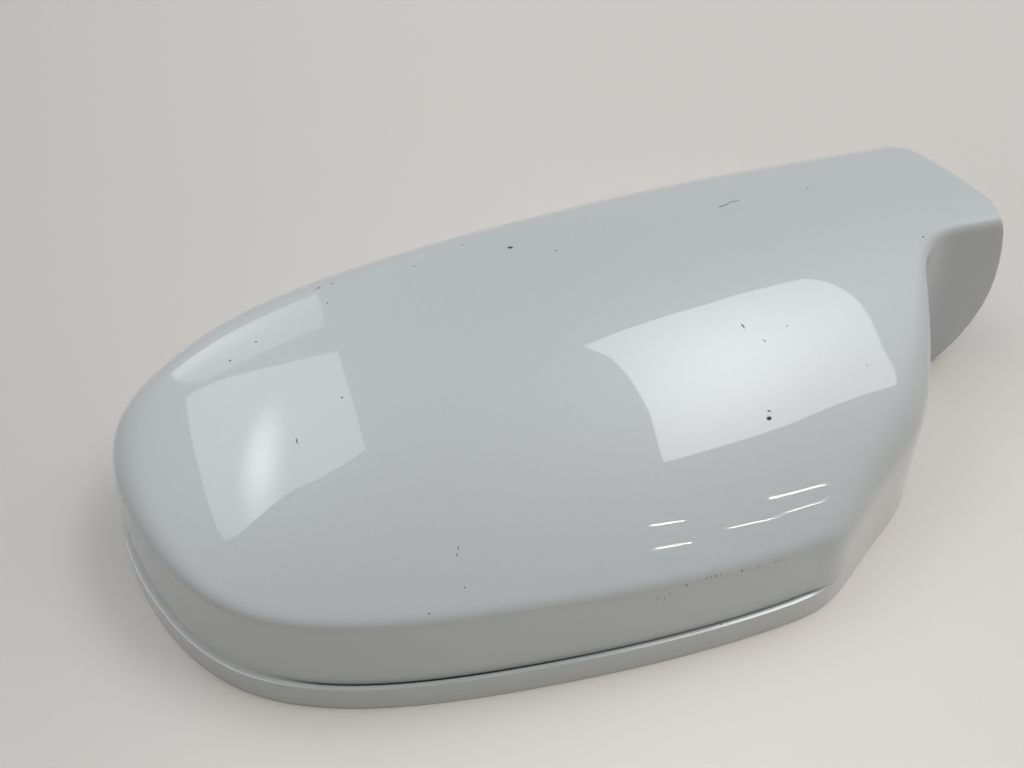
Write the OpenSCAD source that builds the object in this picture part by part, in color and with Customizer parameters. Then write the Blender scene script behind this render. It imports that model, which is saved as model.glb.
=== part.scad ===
// Wing mirror cover: one moulded, painted shell that lies on its open rim.
// X runs from the rounded outer end to the hood over the arm, Y from the side
// with the crease to the side that rolls over, and Z up from the rim.

/* [Cover] */
// Length of the whole cover, outer end to hood
cover_l = 244.5; // [220:1:265]
// Width of the rim
cover_w = 121.5; // [110:1:134]
// Height of the highest point of the crown above the rim
cover_h = 56.5; // [52:0.1:63]
// Thickness of the moulded wall
wall_t = 2.5; // [1.8:0.1:3.2]
// Lean of the side walls from upright, in degrees
draft_angle = 5.6; // [4:0.1:7.5]

/* [Crown] */
// Fall of the crown from its highest point to the outer end
outer_drop = 24.9; // [20:0.1:28]
// Fall of the crown towards the hood
hood_drop = 3.3; // [2:0.1:7]
// Fall of the crown towards the creased side
near_drop = 23; // [19:0.1:26]
// Fall of the crown towards the side that rolls over
far_drop = 27.9; // [22:0.1:31]
// Rise of the crown at the corner by the hood, from its twist
crown_twist = 9.8; // [6:0.1:12]

/* [Edges] */
// Radius of the crease along the near side
crease_r = 3; // [2:0.1:4]
// Radius of the roll along the far side
roll_r = 22.3; // [19:0.1:24]

/* [Skirt] */
// Height of the skirt that hangs below the ledge
skirt_h = 9.1; // [7:0.1:12]
// Width of the ledge between skirt and wall
ledge_w = 1.5; // [1:0.1:2.4]
// Rise of the ledge from its edge to the wall
ledge_rise = 0.4; // [0.2:0.1:0.8]

/* [Hood] */
// How far the hood's rounded end reaches past the centre of its arc
hood_reach = 39.6; // [37:0.1:43]
// Height of the widest point of that arc above the rim
hood_mid_h = 29.1; // [25:0.1:32]
// Depth of the arc below its widest point
hood_low = 40.1; // [37:0.1:45]
// Height of the arc above its widest point
hood_high = 52.8; // [48:0.1:58]
// Turn of the hood's sloping edge from straight across, in degrees
hood_slant = 26.6; // [22:0.1:31]
// Turn of the edge behind the hood's far corner, in degrees
heel_angle = 31.9; // [26:0.1:40]
// Radius of the hood's far corner, seen from above
hood_corner_r = 8; // [5:0.1:11]

/* [Snap hooks] */
// Width of a snap hook
hook_w = 12; // [9:0.5:16]
// Thickness of a hook's tongue and of its side webs
hook_t = 1.8; // [1.4:0.1:2.4]
// Length of a hook's tongue
hook_l = 15; // [12:0.5:18]
// Gap between the wall and the tongue
hook_gap = 5; // [4:0.1:7]
// How far the catch stands out from the tongue
catch_d = 2; // [1.4:0.1:2.8]
// Height of the catch
catch_h = 4; // [3:0.1:5]
// Height of a tongue's free end above the rim
hook_clear = 3; // [2:0.1:4]

/* [Ribs] */
// Thickness of a stiffening rib
rib_t = 1.6; // [1.2:0.1:2]
// Depth of a rib below the crown
rib_h = 5; // [3:0.1:7]
// Distance from one rib to the next
rib_pitch = 42; // [36:0.5:48]
// Length of a rib
rib_l = 46; // [38:0.5:54]

/* [Hidden] */

// Small distance by which a cutter passes what it cuts
overrun = 1;
// Radius of the crease inside the wall, where the outside one leaves least room
inner_crease_r = 0.5;

// Outline of the rim at table level, anticlockwise from the outer end. Each row is
// a place as shares of length and width from the middle of the cover, and how far
// the edge above it goes from the crease radius, 0, to the roll radius, 1. The end
// past the hood is only there to be trimmed off.
outline_shares = [
    [-0.5061, 0.0446, 0.41], [-0.4794, -0.1569, 0.14], [-0.4113, -0.3688, 0], [-0.2843, -0.4657, 0],
    [-0.1245, -0.4963, 0], [0.0371, -0.5035, 0], [0.1635, -0.4841, 0], [0.2161, -0.4617, 0.15],
    [0.2739, -0.3544, 0.4], [0.3404, -0.2727, 0.42], [0.3728, -0.1258, 0.22], [0.3933, 0.003, 0.06],
    [0.4063, 0.0823, 0.03], [0.4492, 0.0813, 0.06], [0.5211, 0.0813, 0.06], [0.6119, 0.0813, 0.06],
    [0.6398, 0.1607, 0.03], [0.6398, 0.4418, 0.03], [0.6039, 0.5, 0.45], [0.5281, 0.5009, 1],
    [0.4113, 0.4998, 1], [0.2008, 0.5013, 1], [-0.0038, 0.4649, 1], [-0.1966, 0.4375, 1],
    [-0.3523, 0.3983, 1], [-0.44, 0.2951, 0.84], [-0.4928, 0.1939, 0.62]
];
// Highest point of the crown, as shares of length and width from the middle
peak_shares = [0.0311, 0.1827];
// Distance over which the crown falls by its drops, as shares of length and width
crown_reach_shares = [0.5738, 0.6165];
// Point where the rings of the crown close, as shares from the middle
centre_shares = [0.0371, 0.2259];
// Places where the ledge has faded out, and the lengths over which it fades
ledge_end_shares = [0.2168, 0.3444];
ledge_fade_shares = [0.045, 0.3293];
// Centre of the hood's arc along the cover, and the hood's far corner
hood_arc_share = 0.3385;
hood_corner_shares = [0.4232, 0.4254];
// Places of the snap hooks as shares of the way round the outline
hook_shares = [0.005, 0.095, 0.16, 0.222, 0.335, 0.775, 0.845, 0.915];
// Middle of the row of ribs, as shares of length and width from the middle
rib_row_shares = [-0.0188, 0.0201];
// Number of ribs
rib_count = 4;

// Steps along one stretch of outline, round a crease, and across the crown
outline_steps = 4;
edge_steps = 6;
crown_steps = 9;
// Turns of averaging that find where wall and crown meet
meeting_steps = 12;
// Steps round half of the hood's arc
arc_steps = 24;

outline_count = len(outline_shares);
column_count = outline_count * outline_steps;
draft_slope = tan(draft_angle);
peak = [peak_shares[0] * cover_l, peak_shares[1] * cover_w];
crown_reach = [crown_reach_shares[0] * cover_l, crown_reach_shares[1] * cover_w];
centre = [centre_shares[0] * cover_l, centre_shares[1] * cover_w];
hood_arc_x = hood_arc_share * cover_l;
hood_corner = [hood_corner_shares[0] * cover_l, hood_corner_shares[1] * cover_w];

// Control points of the outline: place, and radius of the edge above
outline_points = [for (s = outline_shares)
    [s[0] * cover_l, s[1] * cover_w, crease_r + s[2] * (roll_r - crease_r)]];

// Weights of four neighbouring points in a smooth closed spline, and of its slope
function spline_weights(f) =
    [pow(1 - f, 3), 3 * pow(f, 3) - 6 * f * f + 4, 1 + 3 * f + 3 * f * f - 3 * pow(f, 3), pow(f, 3)] / 6;
function slope_weights(f) =
    [-pow(1 - f, 2), 3 * f * f - 4 * f, 1 + 2 * f - 3 * f * f, f * f] / 2;
function weighted(u, weights) =
    let (first = floor(u) + outline_count - 1)
    [for (j = [0:3]) weights[j]] * [for (j = [0:3]) outline_points[(first + j) % outline_count]];
function outline_at(u) = weighted(u, spline_weights(u - floor(u)));
function inward_at(u) =
    let (t = weighted(u, slope_weights(u - floor(u))), size = norm([t[0], t[1]]))
    [-t[1], t[0]] / size;

// Height of the crown over a place, and its slope in a direction
function crown_z(p) =
    let (u = (p[0] - peak[0]) / crown_reach[0], v = (p[1] - peak[1]) / crown_reach[1])
    cover_h - (outer_drop + hood_drop) / 2 * u * u + (outer_drop - hood_drop) / 2 * pow(u, 3)
    - (near_drop + far_drop) / 2 * v * v + (near_drop - far_drop) / 2 * pow(v, 3)
    + crown_twist * u * v;
function crown_slope(p, n) =
    let (u = (p[0] - peak[0]) / crown_reach[0], v = (p[1] - peak[1]) / crown_reach[1])
    n * [
        (-(outer_drop + hood_drop) * u + (outer_drop - hood_drop) * u * u * 3 / 2
            + crown_twist * v) / crown_reach[0],
        (-(near_drop + far_drop) * v + (near_drop - far_drop) * v * v * 3 / 2
            + crown_twist * u) / crown_reach[1]];
// Width of the ledge at a place, where it fades out towards its ends
function clip(a) = min(1, max(0, a));
function eased(a) = a * a * (3 - 2 * a);
function ledge_at(p) = ledge_w * eased(
    clip((ledge_end_shares[0] - p[0] / cover_l) / ledge_fade_shares[0])
    * clip((ledge_end_shares[1] - p[1] / cover_w) / ledge_fade_shares[1]));

// Height at which the wall, going in by its draft, meets the crown
function meeting_z(p, n, inset, skin, z, left) =
    left == 0 ? z : meeting_z(p, n, inset, skin,
        (z + crown_z(p + n * (inset + z * draft_slope)) - skin) / 2, left - 1);

// Edge between wall and crown: a blend that leaves each along its own tangent, from
// the spring in the wall, round the corner where the tangents meet, to the land
function edge_point(t, spring, corner, land) =
    pow(1 - t, 4) * spring + 2 * t * pow(1 - t, 3) * (spring + corner)
    + 6 * t * t * pow(1 - t, 2) * corner
    + 2 * pow(t, 3) * (1 - t) * (corner + land) + pow(t, 4) * land;

// One column of the skin, from the rim up the wall and over its edge to the centre
function column(u, skin, foot) =
    let (
        c = outline_at(u), p = [c[0], c[1]], n = inward_at(u),
        r = max(inner_crease_r, c[2] - skin), ledge = ledge_at(p),
        top = meeting_z(p, n, skin + ledge, skin, cover_h / 2, meeting_steps),
        step_z = skirt_h - skin, shoulder_z = step_z + ledge_rise,
        land_xy = p + n * (skin + ledge + top * draft_slope + r),
        land = [land_xy[0], land_xy[1], crown_z(land_xy) - skin],
        slope = crown_slope(land_xy, n),
        corner_z = (land[2] - slope * (top * draft_slope + r)) / (1 - slope * draft_slope),
        spring_z = max(corner_z - r, shoulder_z + ledge_rise),
        lean = function (z, inset) let (q = p + n * (skin + inset + z * draft_slope)) [q[0], q[1], z],
        spring = lean(spring_z, ledge), corner = lean(corner_z, ledge)
    )
    concat(
        [lean(-foot, 0), lean(step_z, 0), lean(shoulder_z, ledge),
            lean((shoulder_z + spring_z) / 2, ledge)],
        [for (j = [0:edge_steps]) edge_point(j / edge_steps, spring, corner, land)],
        [for (j = [1:crown_steps - 1])
            let (q = land_xy + (centre - land_xy) * j / crown_steps)
            [q[0], q[1], crown_z(q) - skin]]
    );

// Closed solid inside a skin that lies a given depth below the outside
module skin_solid(skin, foot) {
    columns = [for (i = [0:column_count - 1]) column(i / outline_steps, skin, foot)];
    rings = len(columns[0]);
    points = concat(
        [for (k = [0:rings - 1]) for (i = [0:column_count - 1]) columns[i][k]],
        [[centre[0], centre[1], crown_z(centre) - skin]]);
    top_point = rings * column_count;
    faces = concat(
        [[for (i = [0:column_count - 1]) i]],
        [for (k = [0:rings - 2]) for (i = [0:column_count - 1])
            let (j = (i + 1) % column_count, a = k * column_count, b = a + column_count)
            each [[a + i, b + i, b + j], [a + i, b + j, a + j]]],
        [for (i = [0:column_count - 1])
            let (j = (i + 1) % column_count, a = (rings - 1) * column_count)
            [a + i, top_point, a + j]]);
    polyhedron(points = points, faces = faces, convexity = 6);
}

module cavity() {
    skin_solid(wall_t, overrun);
}

// Upright block that holds all of the hood's arc, seen from the creased side
module hood_side_profile() {
    polygon(concat(
        [for (a = [-90:90 / arc_steps:90])
            [hood_arc_x + hood_reach * cos(a),
                hood_mid_h + (a < 0 ? hood_low : hood_high) * sin(a)]],
        [[0, hood_mid_h + hood_high], [0, hood_mid_h - hood_low]]));
}

// Ground that the hood covers, seen from above, with its far corner rounded
module hood_plan_profile() {
    offset(r = hood_corner_r) offset(delta = -hood_corner_r)
        polygon([
            [0, -cover_w],
            [hood_corner[0] + (hood_corner[1] + cover_w) * tan(hood_slant), -cover_w],
            hood_corner,
            [hood_corner[0] - (cover_w - hood_corner[1]) / 2 / tan(heel_angle),
                (cover_w + hood_corner[1]) / 2],
            [0, (cover_w + hood_corner[1]) / 2]
        ]);
}

// What the open end of the hood leaves out of the long outline
module hood_trim() {
    difference() {
        translate([hood_arc_x, -cover_w, -cover_h]) cube([cover_l, 2 * cover_w, 3 * cover_h]);
        translate([0, 2 * cover_w, 0]) rotate([90, 0, 0])
            linear_extrude(height = 4 * cover_w) hood_side_profile();
    }
    difference() {
        translate([hood_arc_x, -cover_w, -cover_h]) cube([cover_l, 2 * cover_w, 3 * cover_h]);
        translate([0, 0, -2 * cover_h]) linear_extrude(height = 5 * cover_h) hood_plan_profile();
    }
}

// Tongue beside the wall with a catch at its free end, on two webs
module snap_hook(share) {
    u = share * outline_count;
    c = outline_at(u);
    n = inward_at(u);
    ledge = ledge_at([c[0], c[1]]);
    root_z = hook_clear + hook_l;
    wall_low = wall_t + hook_clear * draft_slope;
    wall_high = wall_t + ledge + root_z * draft_slope;
    face = wall_t + ledge + root_z * draft_slope + hook_gap;
    translate([c[0], c[1], 0]) rotate(atan2(n[1], n[0])) {
        hull() {
            translate([face, -hook_w / 2, hook_clear]) cube([hook_t, hook_w, hook_t]);
            translate([face, -hook_w / 2, root_z - hook_t]) cube([hook_t, hook_w, hook_t]);
        }
        hull() {
            translate([face, -hook_w / 2, hook_clear]) cube([hook_t, hook_w, catch_h]);
            translate([face, -hook_w / 2, hook_clear + catch_h - hook_t])
                cube([hook_t + catch_d, hook_w, hook_t / 2]);
        }
        for (side = [-1, 1])
            translate([0, side * (hook_w - hook_t) / 2 - hook_t / 2, 0]) hull() {
                translate([wall_high - wall_t / 2, 0, root_z - hook_t]) cube([hook_t, hook_t, hook_t]);
                translate([wall_high - wall_t / 2, 0, skirt_h]) cube([hook_t, hook_t, hook_t]);
                translate([face, 0, skirt_h]) cube([hook_t, hook_t, root_z - skirt_h]);
            }
    }
}

// Row of thin ribs that follow the underside of the crown
module crown_ribs() {
    row = [rib_row_shares[0] * cover_l, rib_row_shares[1] * cover_w];
    intersection() {
        translate([0, 0, wall_t / 2]) cavity();
        difference() {
            for (k = [0:rib_count - 1])
                translate([row[0] + (k - (rib_count - 1) / 2) * rib_pitch - rib_t / 2,
                        row[1] - rib_l / 2, 0])
                    cube([rib_t, rib_l, cover_h]);
            translate([0, 0, -rib_h]) cavity();
        }
    }
}

module mirror_cover() {
    color([0.72, 0.75, 0.76]) {
        difference() {
            skin_solid(0, 0);
            cavity();
            hood_trim();
        }
        for (share = hook_shares) snap_hook(share);
        crown_ribs();
    }
}

mirror_cover();
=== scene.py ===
# %% [markdown]
# # A wing mirror cover
#
# The cover is the painted shell that clips over the back of a car's wing mirror. It is one thin moulding: a short
# skirt, a narrow ledge with a dark slit at its root, a leaning wall, and a crowned top that folds over a tight crease
# on one side and rolls over softly on the other. One end is open and forms a hood over the mirror's arm.
#
# The shape can't be guessed by eye, because a clear coat shows every wrong bend in its reflections. So the mesh
# follows the same rules as the solid model, and every lamp stands where its reflection in the lacquer says it stood.

# %% Frame
import math

import bpy
import numpy as np
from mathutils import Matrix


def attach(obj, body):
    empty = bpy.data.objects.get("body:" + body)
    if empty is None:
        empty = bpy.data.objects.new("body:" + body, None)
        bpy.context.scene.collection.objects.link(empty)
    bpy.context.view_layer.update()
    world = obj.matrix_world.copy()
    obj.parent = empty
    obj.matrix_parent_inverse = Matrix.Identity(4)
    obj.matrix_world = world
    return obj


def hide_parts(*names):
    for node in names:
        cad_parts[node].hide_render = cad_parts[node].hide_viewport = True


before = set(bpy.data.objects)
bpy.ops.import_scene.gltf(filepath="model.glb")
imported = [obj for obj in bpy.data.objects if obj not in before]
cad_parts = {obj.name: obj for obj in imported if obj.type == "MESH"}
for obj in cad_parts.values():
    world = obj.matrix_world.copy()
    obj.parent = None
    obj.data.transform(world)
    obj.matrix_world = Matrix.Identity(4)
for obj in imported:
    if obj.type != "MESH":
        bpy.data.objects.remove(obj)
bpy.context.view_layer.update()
bpy.ops.object.select_all(action="DESELECT")
MM = 0.001

# %% [markdown]
# ## Camera
#
# The photograph was taken from close by with a wide lens, looking down on the creased side. A close, wide view makes
# the near side look taller than a far, long one would, so the place of the camera matters as much as its direction.

# %% Camera
EYE = (-61.12 * MM, -173.02 * MM, 280.07 * MM)
LOOK_AT = (-10.81 * MM, 31.91 * MM, 0.0)
LENS = 42.405

bpy.ops.object.camera_add(location=EYE)
camera = bpy.context.object
camera.name = "camera"
away = [look - eye for look, eye in zip(LOOK_AT, EYE)]
turn = math.atan2(-away[0], away[1])
tilt = math.atan2(math.hypot(away[0], away[1]), -away[2])
camera.rotation_euler = (tilt, 0.0, turn)
camera.data.lens = LENS
camera.data.sensor_width = 36.0
camera.data.clip_start = 0.01
bpy.context.scene.camera = camera
bpy.context.scene.view_settings.view_transform = "Standard"
print("camera tilt %.1f and turn %.1f degrees" % (math.degrees(tilt), math.degrees(turn)))

# %% [markdown]
# ## The rules of the shell
#
# The rim is one closed spline. Each of its control points also says how tight the edge above it is, from the crease
# to the roll. The wall leans in by its draft, the crown falls by a different amount each way, and the edge is a blend
# that leaves both along their own direction. A subdivision cage could come close, but its reflections would wander,
# so these rules place the mesh.

# %% Outline of the rim
COVER_L, COVER_W, COVER_H = 244.5, 121.5, 56.5
CREASE_R, ROLL_R, INNER_CREASE_R = 3.0, 22.3, 0.5
WALL_T = 2.5
DRAFT = math.tan(math.radians(5.6))
OUTLINE = np.array([
    [-.5061, .0446, .41], [-.4794, -.1569, .14], [-.4113, -.3688, 0], [-.2843, -.4657, 0], [-.1245, -.4963, 0],
    [.0371, -.5035, 0], [.1635, -.4841, 0], [.2161, -.4617, .15], [.2739, -.3544, .40], [.3404, -.2727, .42],
    [.3728, -.1258, .22], [.3933, .0030, .06], [.4063, .0823, .03], [.4492, .0813, .06], [.5211, .0813, .06],
    [.6119, .0813, .06], [.6398, .1607, .03], [.6398, .4418, .03], [.6039, .5000, .45], [.5281, .5009, 1],
    [.4113, .4998, 1], [.2008, .5013, 1], [-.0038, .4649, 1], [-.1966, .4375, 1], [-.3523, .3983, 1],
    [-.4400, .2951, .84], [-.4928, .1939, .62]])
RIM = np.column_stack([OUTLINE[:, 0] * COVER_L, OUTLINE[:, 1] * COVER_W,
                       CREASE_R + OUTLINE[:, 2] * (ROLL_R - CREASE_R)])


def outline_at(u):
    """Place, inward direction and edge radius at parameters u of the closed spline."""
    u = np.asarray(u, float)
    first = np.floor(u).astype(int)
    f = u - first
    near = RIM[(first[:, None] + np.arange(-1, 3)) % len(RIM)]
    weights = np.stack([(1 - f) ** 3, 3 * f ** 3 - 6 * f ** 2 + 4,
                        1 + 3 * f + 3 * f ** 2 - 3 * f ** 3, f ** 3], 1) / 6
    slopes = np.stack([-(1 - f) ** 2, 3 * f ** 2 - 4 * f, 1 + 2 * f - 3 * f ** 2, f ** 2], 1) / 2
    value = (weights[:, :, None] * near).sum(1)
    along = (slopes[:, :, None] * near).sum(1)[:, :2]
    along /= np.linalg.norm(along, axis=1)[:, None]
    return value[:, :2], np.stack([-along[:, 1], along[:, 0]], 1), value[:, 2]


print("outline of %d control points" % len(RIM))

# %% Crown and ledge
PEAK = np.array([.0311 * COVER_L, .1827 * COVER_W])
CROWN_REACH = np.array([.5738 * COVER_L, .6165 * COVER_W])
OUTER_DROP, HOOD_DROP, NEAR_DROP, FAR_DROP, TWIST = 24.9, 3.3, 23.0, 27.9, 9.8
SKIRT_H, LEDGE_W, LEDGE_RISE = 9.1, 1.5, 0.4
LEDGE_END_X, LEDGE_FADE_X, LEDGE_END_Y, LEDGE_FADE_Y = .2168, .045, .3444, .3293


def crown_z(p):
    """Height of the crown over places p."""
    u, v = ((p - PEAK) / CROWN_REACH).T
    return (COVER_H - (OUTER_DROP + HOOD_DROP) / 2 * u ** 2 + (OUTER_DROP - HOOD_DROP) / 2 * u ** 3
            - (NEAR_DROP + FAR_DROP) / 2 * v ** 2 + (NEAR_DROP - FAR_DROP) / 2 * v ** 3 + TWIST * u * v)


def crown_slope(p, inward):
    """Slope of the crown at p in the inward direction."""
    u, v = ((p - PEAK) / CROWN_REACH).T
    rise_u = (-(OUTER_DROP + HOOD_DROP) * u + (OUTER_DROP - HOOD_DROP) * 1.5 * u ** 2 + TWIST * v)
    rise_v = (-(NEAR_DROP + FAR_DROP) * v + (NEAR_DROP - FAR_DROP) * 1.5 * v ** 2 + TWIST * u)
    return inward[:, 0] * rise_u / CROWN_REACH[0] + inward[:, 1] * rise_v / CROWN_REACH[1]


def eased(share):
    """Share from 0 to 1 that starts and ends softly."""
    share = np.clip(share, 0, 1)
    return share * share * (3 - 2 * share)


def ledge_share(p):
    """How much of the ledge is there: 1 along the near side, 0 where it has faded out."""
    x, y = p[:, 0] / COVER_L, p[:, 1] / COVER_W
    return eased(np.clip((LEDGE_END_X - x) / LEDGE_FADE_X, 0, 1) * np.clip((LEDGE_END_Y - y) / LEDGE_FADE_Y, 0, 1))


print("crown at its peak: %.1f mm" % crown_z(PEAK[None])[0])

# %% [markdown]
# ## One section of the shell
#
# A section runs from the rim up one wall, over its edge, across the crown and down the other wall. The rows that need
# care are those of the ledge. Its outer half is nearly flat and catches a bright line, its inner half falls into a
# fine slit at the foot of the wall, which stays dark, and at the rounded outer end a soft fillet takes the slit's
# place. All of that would be lost in a bump map as soon as the light moved. Each row is an inset and a height over the
# skirt in mm, and a row of the slit has two heights, one where the slit is deepest and one where it is shallow.

# %% Rows of the skirt, the ledge and the slit
SKIRT_EDGE_R = 0.2
SKIRT_ROWS = [0.0, 0.9, 2.6, 4.6, 6.6, 8.2]
ROUND_ANGLES = [0, 22, 44, 63, 80]
LEDGE_TOP = [(.36, .03), (.54, .055), (.72, .08), (.86, .10)]
SLIT = [(1.18, -.05, .00), (1.23, -.30, -.12), (1.31, -.44, -.20), (1.40, -.44, -.20), (1.48, -.10, .00),
        (1.50, .30, .30)]
FILLET = [(.34, .04), (.48, .09), (.62, .16), (.76, .25), (.90, .37), (1.03, .51), (1.16, .69), (1.29, .92),
          (1.41, 1.20), (1.50, 1.50)]
LEDGE_ROWS = len(ROUND_ANGLES) + len(FILLET)
SLIT_START, SLIT_OPENS_OVER = -96, 22
DEEPEST_AT, DEEP_REACH, LEAST_DEPTH = -48, 42, .2


def slit_share(p):
    """How far the slit has opened out of the fillet, and how deep it is: deepest left of the middle."""
    opened = eased((p[:, 0] - SLIT_START) / SLIT_OPENS_OVER)
    return opened, LEAST_DEPTH + (1 - LEAST_DEPTH) * np.exp(-((p[:, 0] - DEEPEST_AT) / DEEP_REACH) ** 2)


def wall_rows(place, share, detailed, skin):
    """Heights and insets of the rows from the rim to the foot of the wall."""
    step_z = SKIRT_H - skin
    rows = [(z * step_z / SKIRT_H + 0 * share, 0 * share) for z in SKIRT_ROWS]
    plain = iter(step_z + np.linspace(-.5, .9, LEDGE_ROWS))
    shaped = []
    for angle in np.radians(ROUND_ANGLES):
        shaped.append((step_z - SKIRT_EDGE_R * (1 - math.sin(angle)) + 0 * share,
                       SKIRT_EDGE_R * (1 - math.cos(angle)) + 0 * share))
    opened, depth = slit_share(place) if detailed else (0 * share, 0 * share)
    for step, (in_round, z_round) in enumerate(FILLET):
        if step < len(LEDGE_TOP):
            in_open, z_open = LEDGE_TOP[step]
        else:
            in_open, z_deep, z_shallow = SLIT[step - len(LEDGE_TOP)]
            z_open = z_shallow + (z_deep - z_shallow) * depth
        shaped.append((step_z + z_round + (z_open - z_round) * opened, in_round + (in_open - in_round) * opened))
    for z, inset in shaped:
        level = next(plain)
        rows.append((level + (z - level) * share, inset * share))
    return rows


print("%d rows up to the foot of the wall" % (len(SKIRT_ROWS) + LEDGE_ROWS))

# %% One column, from the rim to the crown
WALL_STEPS, EDGE_STEPS = 7, 18
SETTLING_STEPS = 14


def column(u, skin):
    """Rows of points above parameters u of the rim: array of rows, columns, xyz."""
    place, inward, radius = outline_at(u)
    share = ledge_share(place)
    ledge = LEDGE_W * share
    top = np.full(len(place), COVER_H / 2)
    for _ in range(SETTLING_STEPS):
        top = (top + crown_z(place + inward * (skin + ledge + top * DRAFT)[:, None]) - skin) / 2
    r = np.maximum(INNER_CREASE_R, radius - skin)
    reach = top * DRAFT + r
    land_xy = place + inward * (skin + ledge + reach)[:, None]
    land_z = crown_z(land_xy) - skin
    slope = crown_slope(land_xy, inward)
    corner_z = (land_z - slope * reach) / (1 - slope * DRAFT)
    spring_z = np.maximum(corner_z - r, SKIRT_H - skin + 2 * LEDGE_RISE)

    def lean(z, inset):
        return np.column_stack([place + inward * (skin + inset + z * DRAFT)[:, None], z])

    rows = [lean(z, inset) for z, inset in wall_rows(place, share, skin == 0, skin)]
    foot_z = rows[-1][:, 2]
    for step in range(1, WALL_STEPS):
        rows.append(lean(foot_z + (spring_z - foot_z) * step / WALL_STEPS, ledge))
    spring, corner, land = lean(spring_z, ledge), lean(corner_z, ledge), np.column_stack([land_xy, land_z])
    for step in range(EDGE_STEPS + 1):
        t = step / EDGE_STEPS
        rows.append((1 - t) ** 4 * spring + 2 * t * (1 - t) ** 3 * (spring + corner)
                    + 6 * t * t * (1 - t) ** 2 * corner
                    + 2 * t ** 3 * (1 - t) * (corner + land) + t ** 4 * land)
    return np.array(rows)


SIDE_ROWS = len(column([3.0], 0.0))
print("%d rows on each side" % SIDE_ROWS)

# %% Whole sections
CROWN_STEPS = 50
NEAR_U = np.array([0, 1, 2, 3, 4, 5, 6, 7, 8, 9, 10, 11, 11.5, 12.4, 14.15])
FAR_U = np.array([27, 25.7, 24.6, 23.6, 22.65, 21.95, 21.4, 21.15, 20.97, 20.82, 20.7, 20.6, 20.55, 20.45, 19.1])
OUTER_END_U = 2.2
TIP_PULL = .45


def sections(near_u, skin):
    """Sections through the shell from near parameters near_u: array of rows, sections, xyz."""
    near_u = np.asarray(near_u, float)
    near = column(near_u, skin)
    far = column(np.interp(near_u, NEAR_U, FAR_U), skin)
    a, b = near[-1][:, :2], far[-1][:, :2]
    middle = (a + b) / 2
    pivot_pair = [column([OUTER_END_U], skin)[-1][0, :2],
                  column([np.interp(OUTER_END_U, NEAR_U, FAR_U)], skin)[-1][0, :2]]
    pivot = (pivot_pair[0] + pivot_pair[1]) / 2
    tip = column([0.0], skin)[-1][0, :2]
    turned = near_u < OUTER_END_U
    share = (1 - near_u[turned] / OUTER_END_U)[:, None]
    middle[turned] = pivot + (tip - pivot) * TIP_PULL * share
    control = 2 * middle - (a + b) / 2
    rows = []
    for step in range(1, CROWN_STEPS):
        t = step / CROWN_STEPS
        p = (1 - t) ** 2 * a + 2 * t * (1 - t) * control + t * t * b
        rows.append(np.column_stack([p, crown_z(p) - skin]))
    return np.concatenate([near, np.array(rows), far[::-1]])


print("%d rows in a section" % len(sections([3.0], 0.0)))

# %% [markdown]
# ## Where the hood ends
#
# The open end isn't cut straight: seen from the creased side it is an arc, and from above a slope with a rounded
# corner. Cutting the mesh there with a boolean would leave slivers, and slivers ruin the bevel of the cut edge. So
# each row is followed to the place where it leaves the hood, and its last points are spread evenly up to there.

# %% Trim of the hood
ARC_X, ARC_Z, ARC_REACH, ARC_LOW, ARC_HIGH = .3385 * COVER_L, 29.1, 39.6, 40.1, 52.8
CORNER = np.array([.4232 * COVER_L, .4254 * COVER_W])
SLANT, HEEL, CORNER_R = math.radians(26.6), math.radians(31.9), 8.0


def inside_hood(p):
    """Positive where points p are kept, and about the distance to the trimmed edge in mm."""
    x, z = p[..., 0], p[..., 2]
    reach_z = np.where(z < ARC_Z, ARC_LOW, ARC_HIGH)
    arc = 1 - np.sqrt((np.maximum(x - ARC_X, 0) / ARC_REACH) ** 2 + ((z - ARC_Z) / reach_z) ** 2)
    arc = np.where(x < ARC_X, 1, arc)
    out_1 = np.array([math.cos(SLANT), math.sin(SLANT)])
    out_2 = np.array([math.sin(HEEL), math.cos(HEEL)])
    to_1 = np.array([-math.sin(SLANT), math.cos(SLANT)])
    to_2 = np.array([math.cos(HEEL), -math.sin(HEEL)])
    centre = CORNER + np.linalg.solve(np.array([out_1, out_2]), [-CORNER_R, -CORNER_R])
    q = p[..., :2]
    plan = np.minimum(-(q - CORNER) @ out_1, -(q - CORNER) @ out_2)
    round_part = ((q - centre) @ to_1 > 0) & ((q - centre) @ to_2 > 0)
    plan = np.where(round_part, CORNER_R - np.linalg.norm(q - centre, axis=-1), plan)
    return np.minimum(arc * ARC_REACH, plan)


HOOD_START_U = 12.4
STATION = 1.35
MEASURING_STEPS, TRIMMING_STEPS = 1200, 900
fine_u = np.linspace(0, HOOD_START_U, MEASURING_STEPS)
fine = sections(fine_u, 0.0)
lengths = np.linalg.norm(np.diff(fine[[0, SIDE_ROWS + CROWN_STEPS // 2, -1]], axis=1), axis=2).mean(0)
travelled = np.concatenate([[0], np.cumsum(lengths)])
BODY_COUNT = int(travelled[-1] / STATION)
BODY_U = np.interp(np.linspace(0, travelled[-1], BODY_COUNT), travelled, fine_u)
HOOD_COUNT = 17
print("%d sections along the body and %d in the hood" % (BODY_COUNT, HOOD_COUNT))


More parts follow.
